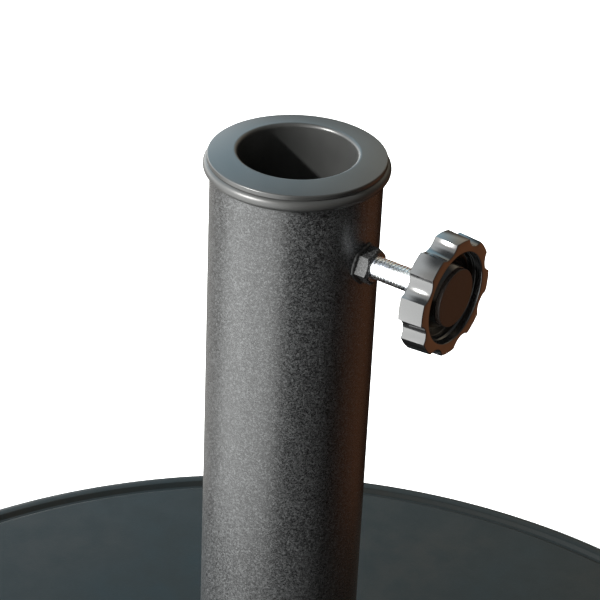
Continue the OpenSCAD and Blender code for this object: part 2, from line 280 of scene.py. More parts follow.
@dataclass(frozen=True)
class CastSkin(Finish):
    """Satin skin of the ballast disc, with greenish and bluish clouds and a gently wavy surface."""

    cool: Colour = (0.004, 0.0065, 0.0072)
    warm: Colour = (0.0078, 0.0076, 0.0066)
    specular: float = 0.17
    wave_deep: float = 0.16 * MM

    def paint(self, net: Net) -> None:
        """Adds the skin's nodes."""
        wide = net.noise(70 * MM, 3.0)
        blotch = net.noise(14 * MM, 5.0, 0.6)
        grain = net.noise(0.9 * MM, 3.0)
        speck = net.cells(2.6 * MM).step(0.0, 0.22)
        tint = net.mix(wide.step(0.35, 0.65), self.cool, self.warm)
        tone = net.mix(blotch.step(0.32, 0.68), tint, self.colour)
        net.set(Base_Color=net.mix(speck, self.shade(1.7), tone))
        net.set(Roughness=self.roughness + (blotch - 0.5) * 0.22 + (grain - 0.5) * 0.1)
        net.set(Specular_IOR_Level=self.specular)
        net.bump(wide * 0.5 + blotch * 0.35 + grain * 0.15, self.wave_deep)


@dataclass(frozen=True)
class ZincPlate(Finish):
    """Plated or plain metal with a faint bluish passivation and dull patches."""

    tint: Colour = (0.82, 0.86, 0.93)

    def paint(self, net: Net) -> None:
        """Adds the metal's nodes."""
        cloud = net.noise(3.0 * MM, 4.0)
        spangle = net.flecks(0.5 * MM, "Blue")
        grit = net.noise(0.2 * MM, 2.0)
        net.set(Base_Color=net.mix(cloud.step(0.35, 0.7), self.colour, self.tint))
        net.set(Metallic=1.0, Roughness=self.roughness + (spangle - 0.5) * 0.12 + (cloud - 0.5) * 0.14)
        net.bump(grit * 0.6 + spangle * 0.4, 0.004 * MM)


@dataclass(frozen=True)
class CastConcrete(Finish):
    """Rough concrete with sand, pores and pale lime clouds."""

    def paint(self, net: Net) -> None:
        """Adds the concrete's nodes."""
        cloud = net.noise(22 * MM, 5.0)
        sand = net.noise(0.8 * MM, 4.0, 0.7)
        pores = net.cells(4 * MM).step(0.05, 0.16)
        tone = net.mix(cloud.step(0.3, 0.7), self.shade(0.8), self.shade(1.2))
        net.set(Base_Color=net.mix(pores, self.shade(0.4), tone), Roughness=self.roughness + sand * 0.1)
        net.bump(sand * 0.4 + pores * 0.6, 0.5 * MM)


@dataclass(frozen=True)
class SoftRubber(Finish):
    """Matt rubber with a bloom of dust and a fine moulded grain."""

    def paint(self, net: Net) -> None:
        """Adds the rubber's nodes."""
        bloom = net.noise(6 * MM, 5.0, 0.65)
        grain = net.noise(0.3 * MM, 2.0)
        net.set(Base_Color=net.mix(bloom.step(0.45, 0.8), self.colour, self.shade(2.6)))
        net.set(Roughness=self.roughness + bloom * 0.12, Specular_IOR_Level=0.35)
        net.bump(grain, 0.03 * MM)


class Finishes:
    """The finishes of this part's own pieces."""

    tube_coat = PowderCoat("tube_powder_coat", (0.006, 0.0062, 0.0066), 0.31)
    nut_coat = PowderCoat("nut_powder_coat", (0.01, 0.0102, 0.0105), 0.24, cover=0.05, peel=0.012 * MM)
    weld_coat = PowderCoat("weld_powder_coat", (0.006, 0.0062, 0.0065), 0.45, cover=0.015, peel=0.012 * MM)
    skin = CastSkin("ballast_skin", (0.0045, 0.006, 0.006), 0.42)
    concrete = CastConcrete("ballast_concrete", (0.36, 0.35, 0.33), 0.85)
    cover = MouldedPlastic("underside_plastic", (0.05, 0.052, 0.054), 0.5, grain_deep=0.03 * MM)
    rubber = SoftRubber("foot_rubber", (0.022, 0.022, 0.022), 0.75)
    zinc = ZincPlate("screw_zinc", (0.86, 0.87, 0.86), 0.27)
    fixings = ZincPlate("fixing_zinc", (0.6, 0.62, 0.64), 0.34)
    socket = MouldedPlastic("socket_plastic", (0.6, 0.6, 0.57), 0.5)
    brass = ZincPlate("insert_brass", (0.55, 0.4, 0.17), 0.35)
    escutcheon = MouldedPlastic("foot_cover_plastic", (0.035, 0.037, 0.04), 0.38, grain_deep=0.02 * MM)
    seat = MouldedPlastic("pole_seat_plastic", (0.03, 0.031, 0.033), 0.5)
    collar = MouldedPlastic("collar_plastic", (0.024, 0.0245, 0.024), 0.4, 0.5 * MM, 0.004 * MM)
    bush = MouldedPlastic("bush_plastic", (0.022, 0.0225, 0.022), 0.33, 0.4 * MM, 0.005 * MM)
    knob = MouldedPlastic("knob_plastic", (0.008, 0.0082, 0.0085), 0.17, 0.9 * MM, 0.003 * MM,
                          coat=0.4, specular=1.0)
    cap = MouldedPlastic("knob_cap_plastic", (0.028, 0.022, 0.019), 0.42, 0.25 * MM, 0.012 * MM)
    nylon = MouldedPlastic("pad_nylon", (0.7, 0.68, 0.6), 0.45)


# ------------------------------------------------------------------------------------------ meshes


@dataclass
class Outline:
    """Section of a turned piece: corners as (radius, height, fillet), in millimetres."""

    corners: list[tuple[float, float, float]] = field(default_factory=list)
    closed: bool = True
    arc_step: float = 12.0

    def points(self) -> list[Vector]:
        """Works the corners and their fillets out into points.

        Returns:
            Points as (radius, height) in metres.
        """
        count = len(self.corners)
        made: list[Vector] = []
        for i, (radius, height, fillet) in enumerate(self.corners):
            here = Vector((radius, height))
            end = not self.closed and i in (0, count - 1)
            if fillet <= 0 or end:
                made.append(here)
                continue
            before = Vector(self.corners[i - 1][:2]) - here
            after = Vector(self.corners[(i + 1) % count][:2]) - here
            made.extend(self.arc(here, before.normalized(), after.normalized(), fillet))
        return [point * MM for point in made]

    def arc(self, corner: Vector, before: Vector, after: Vector, fillet: float) -> list[Vector]:
        """Points of one fillet arc, from the side before a corner to the side after it."""
        half = before.angle(after) / 2
        back = fillet / math.tan(half)
        middle = corner + (before + after).normalized() * (fillet / math.sin(half))
        start = corner + before * back - middle
        finish = corner + after * back - middle
        turn = start.angle_signed(finish)
        steps = max(2, math.ceil(abs(math.degrees(turn)) / self.arc_step))
        return [middle + Matrix.Rotation(-turn * k / steps, 2) @ start for k in range(steps + 1)]


@dataclass
class Shape:
    """A bmesh in the making, with the steps that its pieces share."""

    mesh: bmesh.types.BMesh = field(default_factory=bmesh.new)

    def turn(self, outline: Outline, steps: int, at: Vector = Vector((0, 0, 0))) -> "Shape":
        """Turns an outline about the local Z axis through a point."""
        verts = [self.mesh.verts.new(at + Vector((p.x, 0, p.y))) for p in outline.points()]
        pairs = list(zip(verts, verts[1:]))
        if outline.closed:
            pairs.append((verts[-1], verts[0]))
        edges = [self.mesh.edges.new(pair) for pair in pairs]
        bmesh.ops.spin(self.mesh, geom=verts + edges, cent=at, axis=(0, 0, 1), angle=math.tau, steps=steps,
                       use_merge=True, use_duplicate=False)
        return self

    def clean(self, merge: float = 0.0005 * MM) -> "Shape":
        """Merges doubles and points the faces outwards."""
        bmesh.ops.remove_doubles(self.mesh, verts=self.mesh.verts[:], dist=merge)
        bmesh.ops.dissolve_degenerate(self.mesh, dist=merge, edges=self.mesh.edges[:])
        bmesh.ops.recalc_face_normals(self.mesh, faces=self.mesh.faces[:])
        return self

    def put_on_screw(self, height: float) -> "Shape":
        """Lays local Z along the hand screw's axis, which is +X at a height in metres."""
        lay = Matrix.Translation((0, 0, height)) @ Matrix.Rotation(math.pi / 2, 4, "Y")
        bmesh.ops.transform(self.mesh, matrix=lay, verts=self.mesh.verts[:])
        return self

    def piece(self, name: str, finish: Finish, body: Body, slot: str, replaces: Sequence[str] = (),
              sharp: float = 32.0) -> bpy.types.Object:
        """Makes the finished object.

        Args:
            name: the piece's name.
            finish: its finish.
            body: the body that it moves with.
            slot: the record's material slot.
            replaces: CAD nodes that it stands for.
            sharp: edges over this angle in degrees stay sharp.

        Returns:
            The object, at the origin.
        """
        data = bpy.data.meshes.new(name)
        self.mesh.to_mesh(data)
        self.mesh.free()
        data.shade_smooth()
        data.set_sharp_from_angle(angle=math.radians(sharp))
        data.materials.append(finish.make())
        made = bpy.data.objects.new(name, data)
        bpy.context.scene.collection.objects.link(made)
        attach(made, body.value)
        if replaces:
            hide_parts(*replaces)
        LOG.info("%s: %d faces on %s", name, len(data.polygons), body.value)
        return made


def dress(node: str, finish: Finish) -> None:
    """Gives a CAD node a finish.

    Args:
        node: the node's name.
        finish: its finish.
    """
    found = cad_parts[node]
    found.data.materials.clear()
    found.data.materials.append(finish.make())
    LOG.info("%s: CAD mesh with %s", node, finish.name)


def span(node: str) -> tuple[Vector, Vector]:
    """A CAD node's lowest and highest corners in millimetres."""
    low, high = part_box(node)
    return low / MM, high / MM


# ------------------------------------------------------------------------------------------ pieces


@dataclass
class BallastDisc:
    """The round ballast: its moulded skin, the cast filling, and the cover and feet under it."""

    edge_fillet: float = 6.0
    wall: float = 2.5
    groove_in: float = 11.5
    groove_half: float = 2.9
    groove_floor: float = 0.8
    groove_deep: float = 1.5
    drain_r: float = 5.0
    bead_places: tuple[float, ...] = (60.0, 105.0, 128.0, 178.0, 247.0)
    bead_half: float = 4.0
    bead_deep: float = 1.2
    foot_r: float = 15.0
    foot_stud_r: float = 4.0
    foot_edge: float = 0.6
    dish_r: float = 9.5
    dish_deep: float = 0.8
    foot_at: float = 220.0
    foot_count: int = 6
    foot_start: float = 30.0
    steps: int = 360

    def skin(self) -> bpy.types.Object:
        """Turns the skin with its rounded edge and the soft groove inside the rim."""
        low, high = span("ballast_shell")
        rim, top, inner = high.x, high.z, high.z - self.wall
        groove = rim - self.groove_in
        corners = [
            (self.drain_r, top, 0.5),
            (groove - self.groove_half, top, 2.2),
            (groove - self.groove_floor, top - self.groove_deep, 0.7),
            (groove + self.groove_floor, top - self.groove_deep, 0.7),
            (groove + self.groove_half, top, 1.6),
            (rim, top, self.edge_fillet),
            (rim, low.z, 0.9),
            (rim - self.wall, low.z, 0.9),
            (rim - self.wall, inner, self.edge_fillet - self.wall),
            (self.drain_r, inner, 0.0),
        ]
        shape = Shape().turn(Outline(corners), self.steps).clean()
        return shape.piece("disc_skin", Finishes.skin, Body.BASE, "shell_plastic", ["ballast_shell"])

    def cover(self) -> bpy.types.Object:
        """Turns the underside cover with its ring-shaped stiffening beads."""
        low, high = span("bottom_cover")
        corners = [(self.drain_r, low.z, 0.4)]
        for place in self.bead_places:
            corners += [
                (place - self.bead_half, low.z, 0.6),
                (place - self.bead_half / 2, low.z - self.bead_deep, 0.6),
                (place + self.bead_half / 2, low.z - self.bead_deep, 0.6),
                (place + self.bead_half, low.z, 0.6),
            ]
        corners += [(high.x, low.z, 0.6), (high.x, high.z, 0.0), (self.drain_r, high.z, 0.0)]
        shape = Shape().turn(Outline(corners, arc_step=30), 240).clean()
        return shape.piece("underside_cover", Finishes.cover, Body.BASE, "cover_plastic", ["bottom_cover"])

    def feet(self) -> bpy.types.Object:
        """Turns the rubber feet, each with a shallow suction dish."""
        low, high = span("rubber_feet")
        pad = span("bottom_cover")[0].z
        corners = [
            (0, self.dish_deep, 0),
            (self.dish_r - 1, self.dish_deep, 0.5),
            (self.dish_r, low.z, 0.5),
            (self.foot_r - self.foot_edge, low.z, 1.0),
            (self.foot_r, pad, 0.4),
            (self.foot_stud_r, pad, 0),
            (self.foot_stud_r, high.z, 0),
            (0, high.z, 0),
        ]
        outline = Outline(corners, closed=False, arc_step=22)
        shape = Shape()
        for i in range(self.foot_count):
            angle = math.radians(self.foot_start) + i * math.tau / self.foot_count
            turn = Matrix.Rotation(angle, 3, "Z")
            shape.turn(outline, 48, turn @ Vector((self.foot_at * MM, 0, 0)))
        shape.clean()
        return shape.piece("disc_feet", Finishes.rubber, Body.BASE, "foot_rubber", ["rubber_feet"])

    def build(self) -> None:
        """Builds and dresses the whole disc."""
        self.skin()
        self.cover()
        self.feet()
        dress("concrete_core", Finishes.concrete)
        dress("cover_screws", Finishes.fixings)
        dress("cover_sockets", Finishes.socket)


@dataclass
class TubeFoot:
    """Where the tube stands on the disc: its flange, bolts and moulded cover, and the pole seat."""

    wall: float = 2.0
    wall_drift: float = 1.1
    foot_edge: float = 1.2
    shoulder_drop: float = 7.6
    shoulder_fillet: float = 7.0
    neck_fit: float = 0.25
    neck_lip: float = 4.2
    neck_land: float = 2.6
    neck_foot: float = 5.2
    neck_drop: float = 3.6
    under_neck: float = 4.0
    under_drop: float = 5.8

    def cover(self) -> bpy.types.Object:
        """Turns the foot cover, a low bell with a neck round the tube."""
        low, high = span("foot_cover")
        neck = span("tube")[1].x + self.neck_fit
        foot, top = high.x, high.z
        shoulder = top - self.shoulder_drop
        corners = [
            (neck, top - self.neck_lip, 0.3),
            (neck, top, 0.5),
            (neck + self.neck_land, top, 0.9),
            (neck + self.neck_foot, top - self.neck_drop, 3.2),
            (foot - self.foot_edge, shoulder, self.shoulder_fillet),
            (foot, low.z, 0.6),
            (foot - self.wall, low.z, 0.4),
            (foot - self.wall - self.wall_drift, shoulder - self.wall, self.shoulder_fillet - self.wall),
            (neck + self.under_neck, top - self.under_drop, 1.5),
        ]
        shape = Shape().turn(Outline(corners, arc_step=9), 160).clean()
        return shape.piece("tube_foot_cover", Finishes.escutcheon, Body.BASE, "escutcheon_plastic",
                           ["foot_cover"])

    def build(self) -> None:
        """Builds and dresses the foot."""
        self.cover()
        for node in ("foot_flange", "foot_weld"):
            dress(node, Finishes.tube_coat)
        for node in ("flange_bolts", "flange_washers"):
            dress(node, Finishes.fixings)
        dress("bolt_inserts", Finishes.brass)
        dress("pole_seat", Finishes.seat)


@dataclass
class TubeMouth:
    """The tube and what closes its mouth: the beaded collar and the loose reducer bush."""

    tube_wall: float = 1.5
    spigot_fit: float = 0.05
    spigot_wall: float = 2.2
    bead_flat: float = 0.04
    mouth_fillet: float = 1.3
    flange_fillet: float = 0.5
    sleeve_wall: float = 2.2
    bore_r: float = 19.5
    flange_t: float = 1.65
    flange_rise: float = 1.3
    rib_count: int = 8
    rib_start: float = 11.25
    rib_t: float = 2.0
    rib_r: float = 24.4
    rib_root: float = 0.6
    rib_lift: float = 0.4
    rib_foot: float = 1.4
    rib_edge: float = 0.2
    steps: int = 240

    def collar(self) -> bpy.types.Object:
        """Turns the collar: a half-round bead on a spigot."""
        low, high = span("top_collar")
        tube_top = span("tube")[1].z
        spigot = span("tube")[1].x - self.tube_wall - self.spigot_fit
        bore = spigot - self.spigot_wall
        round_r = (high.z - tube_top - self.bead_flat) / 2
        corners = [
            (bore, low.z, 0.3),
            (spigot, low.z, 0.5),
            (spigot, tube_top, 0.0),
            (high.x, tube_top, round_r),
            (high.x, high.z, round_r),
            (bore, high.z, 0.3),
        ]
        shape = Shape().turn(Outline(corners), self.steps).clean()
        return shape.piece("beaded_collar", Finishes.collar, Body.BASE, "collar_plastic", ["top_collar"])

    def bush(self) -> bpy.types.Object:
        """Turns the bush and sets the ribs round its sleeve."""
        low, high = span("reducer_bush")
        edge = high.z - self.flange_rise
        seat = edge - self.flange_t
        sleeve = self.bore_r + self.sleeve_wall
        slope = math.tan(math.asin(self.mouth_fillet / (high.x - self.bore_r - self.mouth_fillet)))
        corners = [
            (high.x, seat, 0.2),
            (high.x, edge, self.flange_fillet),
            (self.bore_r, edge + (high.x - self.bore_r) * slope, self.mouth_fillet),
            (self.bore_r, low.z, 0.6),
            (sleeve, low.z, 0.4),
            (sleeve, seat, 0.4),
        ]
        shape = Shape().turn(Outline(corners, arc_step=9), self.steps).clean()
        for i in range(self.rib_count):
            angle = math.radians(self.rib_start) + i * math.tau / self.rib_count
            self.rib(shape, angle, sleeve - self.rib_root, low.z + self.rib_lift, seat)
        return shape.piece("pole_bush", Finishes.bush, Body.BUSH, "bush_plastic", ["reducer_bush"])

    def rib(self, shape: Shape, angle: float, inner: float, low: float, high: float) -> None:
        """Adds one rib with a tapered foot to the bush's sleeve.

        Args:
            shape: the bush.
            angle: where the rib stands, in radians.
            inner: the radius that it starts from.
            low: its lower end.
            high: its upper end.
        """
        size = Vector((self.rib_r - inner, self.rib_t, high - low)) * MM
        middle = Vector(((self.rib_r + inner) / 2, 0, (low + high) / 2)) * MM
        place = Matrix.Rotation(angle, 4, "Z") @ Matrix.Translation(middle) @ Matrix.Diagonal((*size, 1))
        made = bmesh.ops.create_cube(shape.mesh, size=1, matrix=place)["verts"]
        foot_r = (inner + self.rib_foot) * MM
        for v in made:
            if v.co.z < middle.z and v.co.xy.length > foot_r:
                v.co.xy *= foot_r / v.co.xy.length
        edges = list({e for v in made for e in v.link_edges})
        bmesh.ops.bevel(shape.mesh, geom=edges, offset=self.rib_edge * MM, segments=2, profile=0.5,
                        affect="EDGES", material=-1)

    def build(self) -> None:
        """Builds and dresses the tube's mouth."""
        dress("tube", Finishes.tube_coat)
        self.collar()
        self.bush()


@dataclass
class WeldedNut:
    """The nut on the tube's side and the weld bead round its foot."""

    across_flats: float = 11.0
    turn: float = 18.0
    bead_r: float = 0.7
    bead_out: float = 0.25
    bead_proud: float = 0.15
    corner_share: float = 0.6
    round_scale: float = 1.08
    bead_squash: float = 0.95
    lumps: float = 0.3
    lump_turns: float = 2.3
    ripples: int = 20
    ripple_lean: float = 2.2
    ripple_deep: float = 0.05
    ring_r: float = 4.0
    steps: int = 156

    def hex_radius(self, angle: float) -> float:
        """Distance from the nut's axis to its side, at an angle from +Y towards +Z."""
        corner = math.radians(90 - self.turn)
        within = (angle - corner) % (math.pi / 3) - math.pi / 6
        return self.across_flats / 2 / math.cos(within)

    def bead_middle(self, angle: float) -> float:
        """Radius of the bead's middle at an angle, between the nut's hexagon and a circle."""
        circle = self.across_flats / 2 * self.round_scale
        return self.hex_radius(angle) * self.corner_share + (1 - self.corner_share) * circle + self.bead_out

    def bead(self) -> bpy.types.Object:
        """Makes the weld bead, a ripply roll that follows the nut's sides and the tube's round face."""
        low, high = span("weld_nut")
        axis_z = (low.z + high.z) / 2
        tube_r = span("tube")[1].x
        shape = Shape()
        upright = Matrix.Translation((self.ring_r, 0, 0)) @ Matrix.Rotation(math.pi / 2, 4, "X")
        ring = bmesh.ops.create_circle(shape.mesh, cap_ends=False, segments=18, radius=1.0, matrix=upright)
        edges = list({e for v in ring["verts"] for e in v.link_edges})
        bmesh.ops.spin(shape.mesh, geom=ring["verts"] + edges, cent=(0, 0, 0), axis=(0, 0, 1),
                       angle=math.tau, steps=self.steps, use_merge=True, use_duplicate=False)
        for v in shape.mesh.verts:
            angle = math.atan2(v.co.y, v.co.x)
            across, along = v.co.xy.length - self.ring_r, v.co.z
            lump = noise.noise(Vector((math.cos(angle), math.sin(angle), 0)) * self.lump_turns) * self.lumps
            ripple = self.ripple_deep * math.sin(self.ripples * angle + self.ripple_lean * across)
            roll = self.bead_r * (1 + lump) + ripple
            radius = self.bead_middle(angle) + across * roll
            side, up = radius * math.cos(angle), radius * math.sin(angle)
            face = math.sqrt(tube_r**2 - side**2)
            out = face + self.bead_proud + along * roll * self.bead_squash
            v.co = Vector((out, side, axis_z + up)) * MM
        shape.clean()
        return shape.piece("nut_weld_bead", Finishes.weld_coat, Body.BASE, "nut_coat", ["nut_weld"],
                           sharp=60)

    def build(self) -> None:
        """Builds and dresses the nut."""
        dress("weld_nut", Finishes.nut_coat)
        self.bead()


@dataclass
class HandScrew:
    """The hand screw: threaded rod, lobed knob with its cap, and the thrust pad in the rod's tip."""

    pitch: float = 1.25
    thread_r: float = 3.92
    thread_deep: float = 0.68
    thread_in: float = 1.5
    root_end: float = 0.22
    crest_start: float = 0.55
    crest_end: float = 0.68
    turn_steps: int = 48
    shank_lap: float = 0.3
    shank_slack: float = 0.01
    head_width: float = 13.0
    head_t: float = 5.5
    head_lap: float = 0.5
    head_fit: float = 0.1
    knob_r: float = 20.2
    front_scale: float = 0.977
    back_scale: float = 1.003
    lobes: int = 8
    notch_deep: float = 2.3
    notch_r: float = 5.3
    lobe_turn: float = 6.1
    lobe_parts: int = 6
    notch_parts: int = 12
    rim_in_r: float = 15.5
    rim_wall: float = 1.1
    rim_draft: float = 0.3
    recess_deep: float = 5.0
    recess_draft: float = 0.9
    ledge_deep: float = 2.6
    ledge_t: float = 0.3
    ledge_out: float = 0.25
    ledge_in: float = 0.75
    web_t: float = 1.5
    hub_bore_r: float = 4.0
    hub_r: float = 7.5
    hub_flare: float = 2.0
    hub_draft: float = 0.2
    hub_length: float = 5.0
    cap_t: float = 1.5
    cap_fit: float = 0.05
    cap_spigot: float = 0.6
    cap_crown: float = 0.1
    pocket_wall: float = 0.7
    boss_spread: float = 2.7
    edge_round: float = 0.42
    round_from_r: float = 9.2
    round_from_angle: float = 38.0
    pad_nose: float = 0.5
    pad_nose_t: float = 0.6

    def __post_init__(self) -> None:
        """Reads the lengths along the screw from the frame."""
        knob_low, knob_high = span("knob_body")
        screw_low, _ = span("lock_screw")
        cap_low, cap_high = span("knob_cap")
        self.axis_z = (cap_low.z + cap_high.z) / 2
        self.cap_r = (cap_high.y - cap_low.y) / 2
        self.hub_end = knob_low.x
        self.face = knob_high.x
        self.tip = screw_low.x
        self.head_top = cap_low.x
        self.rim_back = self.hub_end + self.hub_length
        self.head_r = self.head_width / math.sqrt(3)

    def screw(self) -> bpy.types.Object:
        """Winds the rod's helical thread and adds its shank and hexagon head."""
        root = self.thread_r - self.thread_deep
        crest = self.thread_r
        profile = [(0.0, root), (self.root_end, root), (self.crest_start, crest), (self.crest_end, crest),
                   (1.0, root)]
        thread_end = self.hub_end + self.thread_in
        turns = math.ceil((thread_end - self.tip) / self.pitch) + 2
        start = self.tip - self.pitch
        shape = Shape()
        verts = [shape.mesh.verts.new(Vector((r, 0, start + t * self.pitch)) * MM) for t, r in profile]
        edges = [shape.mesh.edges.new(pair) for pair in zip(verts, verts[1:])]
        steps = turns * self.turn_steps
        bmesh.ops.spin(shape.mesh, geom=verts + edges, cent=(0, 0, 0), axis=(0, 0, 1),
                       angle=math.tau * turns, dvec=(0, 0, self.pitch * turns / steps * MM), steps=steps,
                       use_merge=False, use_duplicate=False)
        bmesh.ops.remove_doubles(shape.mesh, verts=shape.mesh.verts[:], dist=0.002 * MM)
        self.trim(shape, self.tip, -1)
        self.trim(shape, thread_end, 1)
        head_foot = self.head_top - self.head_t
        shank_r = self.thread_r - self.shank_slack
        self.post(shape, thread_end - self.shank_lap, head_foot + self.head_lap, shank_r, 48)
        self.post(shape, head_foot, self.head_top, self.head_r, 6)
        shape.clean().put_on_screw(self.axis_z * MM)
        return shape.piece("threaded_rod", Finishes.zinc, Body.HAND_SCREW, "screw_zinc", ["lock_screw"],
                           sharp=25)

    @staticmethod
    def trim(shape: Shape, height: float, outwards: int) -> None:
        """Cuts the thread off square and closes the cut.

        Args:
            shape: the thread.
            height: where the cut is.
            outwards: 1 takes off what is above the cut, -1 what is below it.
        """
        everything = shape.mesh.verts[:] + shape.mesh.edges[:] + shape.mesh.faces[:]
        cut = bmesh.ops.bisect_plane(shape.mesh, geom=everything, dist=1e-7, plane_co=(0, 0, height * MM),
                                     plane_no=(0, 0, outwards), clear_outer=True)["geom_cut"]
        edges = [part for part in cut if isinstance(part, bmesh.types.BMEdge)]
        bmesh.ops.holes_fill(shape.mesh, edges=edges, sides=0)

    @staticmethod
    def post(shape: Shape, low: float, high: float, radius: float, segments: int) -> None:
        """Adds a closed prism or cylinder on local Z.

        Args:
            shape: what it is added to.
            low: its lower end.
            high: its upper end.
            radius: the radius to its corners.
            segments: how many sides it has.
        """
        middle = Matrix.Translation((0, 0, (low + high) / 2 * MM))
        bmesh.ops.create_cone(shape.mesh, cap_ends=True, segments=segments, radius1=radius * MM,
                              radius2=radius * MM, depth=(high - low) * MM, matrix=middle)

    def rim_angles(self) -> list[float]:
        """Angles of the rim's points, with one at every corner of every lobe."""
        reach = self.knob_r - self.notch_deep + self.notch_r
        half_notch = math.acos((reach**2 + self.knob_r**2 - self.notch_r**2) / (2 * reach * self.knob_r))
        pitch = math.tau / self.lobes
        half_lobe = pitch / 2 - half_notch
        over_lobe = [2 * half_lobe * k / self.lobe_parts for k in range(self.lobe_parts)]
        over_notch = [2 * half_notch * k / self.notch_parts for k in range(self.notch_parts)]
        angles = []
        for i in range(self.lobes):
            angles += [i * pitch - half_lobe + part for part in over_lobe]
            angles += [i * pitch + half_lobe + part for part in over_notch]
        return angles

    def rim_radius(self, angle: float) -> float:
        """Radius of the lobed rim at an angle from a lobe's middle."""
        pitch = math.tau / self.lobes
        off = abs((angle + pitch / 2) % pitch - pitch / 2) - pitch / 2
        reach = self.knob_r - self.notch_deep + self.notch_r
        under = self.notch_r**2 - (reach * math.sin(off)) ** 2
        if under <= 0:
            return self.knob_r
        return min(self.knob_r, reach * math.cos(off) - math.sqrt(under))

    def knob(self) -> bpy.types.Object:
        """Turns the knob from its hub over the rim into the recess, then presses the rim into lobes."""
        floor = self.face - self.recess_deep
        web = floor - self.web_t
        cap_seat = self.face - self.cap_t
        hub_foot = self.hub_r + self.hub_flare
        rim_back_in = self.rim_in_r + self.rim_wall
        ledge = self.face - self.ledge_deep
        pocket = self.head_r + self.head_fit
        pocket_out = pocket + self.pocket_wall
        pocket_floor = self.head_top - self.head_t - self.head_fit
        corners = [
            (self.hub_bore_r, self.hub_end, 0),
            (self.hub_r, self.hub_end, 0),
            (hub_foot, self.rim_back, 0),
            (hub_foot + self.hub_draft, web, 0),
            (rim_back_in - self.rim_draft, web, 0),
            (rim_back_in, self.rim_back, 0),
            (self.knob_r, self.rim_back, 0),
            (self.knob_r, self.face, 0),
            (self.rim_in_r, self.face, 0),
            (self.rim_in_r - self.ledge_out, ledge, 0),
            (self.rim_in_r - self.ledge_in, ledge - self.ledge_t, 0),
            (self.rim_in_r - self.recess_draft, floor, 0),
            (self.cap_r + self.boss_spread, floor, 0),
            (self.cap_r + self.cap_fit, cap_seat, 0),
            (pocket_out, cap_seat, 0),
            (pocket_out, self.head_top, 0),
            (pocket, self.head_top, 0),
            (pocket, pocket_floor, 0),
            (self.hub_bore_r, pocket_floor, 0),
        ]
        angles = self.rim_angles()
        shape = Shape().turn(Outline(corners), len(angles)).clean()
        self.press(shape, angles)
        self.round_edges(shape)
        turn = Matrix.Rotation(math.pi - math.radians(self.lobe_turn), 4, "Z")
        bmesh.ops.transform(shape.mesh, matrix=turn, verts=shape.mesh.verts[:])
        shape.put_on_screw(self.axis_z * MM)
        return shape.piece("lobed_knob", Finishes.knob, Body.HAND_SCREW, "knob_plastic", ["knob_body"],
                           sharp=40)

    def press(self, shape: Shape, angles: Sequence[float]) -> None:
        """Moves the turned knob's points to the rim's angles, and its outermost ones onto the lobes.

        Args:
            shape: the turned knob, with one row of points for every angle.
            angles: where the rows go.
        """
        for v in shape.mesh.verts:
            row = round(math.atan2(v.co.y, v.co.x) * len(angles) / math.tau) % len(angles)
            radius = v.co.xy.length / MM
            if radius > self.knob_r - 0.01:
                scale = self.front_scale if v.co.z / MM > self.face - 1 else self.back_scale
                radius = self.rim_radius(angles[row]) * scale
            v.co.xy = Vector((math.cos(angles[row]), math.sin(angles[row]))) * radius * MM

    def round_edges(self, shape: Shape) -> None:
        """Rounds the knob's sharp edges a little, apart from those close to its axis."""
        steep = math.radians(self.round_from_angle)
        sharp = [e for e in shape.mesh.edges
                 if e.is_manifold and e.calc_face_angle() > steep
                 and min(v.co.xy.length for v in e.verts) > self.round_from_r * MM]
        bmesh.ops.bevel(shape.mesh, geom=sharp, offset=self.edge_round * MM, offset_type="OFFSET",
                        segments=3, profile=0.5, affect="EDGES", material=-1, clamp_overlap=True)

    def cap(self) -> bpy.types.Object:
        """Turns the cap, with a faint crown and a rounded edge."""
        seat = self.face - self.cap_t
        spigot = self.head_r + self.cap_spigot
        corners = [
            (0, self.head_top, 0),
            (spigot, self.head_top, 0.2),
            (spigot, seat, 0),
            (self.cap_r, seat, 0.1),
            (self.cap_r, self.face, 0.3),
            (self.cap_r * 0.6, self.face + 0.8 * self.cap_crown, 6),
            (0, self.face + self.cap_crown, 0),
        ]
        shape = Shape().turn(Outline(corners, closed=False), 120).clean().put_on_screw(self.axis_z * MM)
        return shape.piece("knob_centre_cap", Finishes.cap, Body.HAND_SCREW, "cap_plastic", ["knob_cap"])

    def pad(self) -> bpy.types.Object:
        """Turns the nylon thrust pad."""
        low, high = span("thrust_pad")
        radius = (high.y - low.y) / 2
        corners = [
            (0, low.x, 0),
            (radius - self.pad_nose, low.x, 0.25),
            (radius, low.x + self.pad_nose_t, 0.3),
            (radius, high.x, 0.2),
            (0, high.x, 0),
        ]
        shape = Shape().turn(Outline(corners, closed=False), 48).clean().put_on_screw(self.axis_z * MM)
        return shape.piece("thrust_tip", Finishes.nylon, Body.PAD, "nylon", ["thrust_pad"])

    def build(self) -> None:
        """Builds the hand screw."""
        self.screw()
        self.knob()
        self.cap()
        self.pad()


# ------------------------------------------------------------------------------------------ studio


@dataclass(frozen=True)
class Zone:
    """A soft-edged zone of the room, by how far a direction points right, ahead and up.

    Each pair of limits says where the zone begins and where it has its full strength.
    """

    right: Limits | None = None
    ahead: Limits | None = None
    under: Limits | None = None
    over: Limits | None = None

    def strength(self, right: Value, ahead: Value, up: Value) -> Value:
        """Adds the nodes that work out the zone's strength.

        Args:
            right: how far the direction points to the camera's right.
            ahead: how far it points straight ahead of the camera.
            up: how far it points up.

        Returns:
            The strength, from 0 to 1.
        """
        pairs = ((ahead, self.ahead), (up, self.under), (up, self.over), (right, self.right))
        steps = [way.step(*limits) for way, limits in pairs if limits]
        return math.prod(steps[1:], start=steps[0])


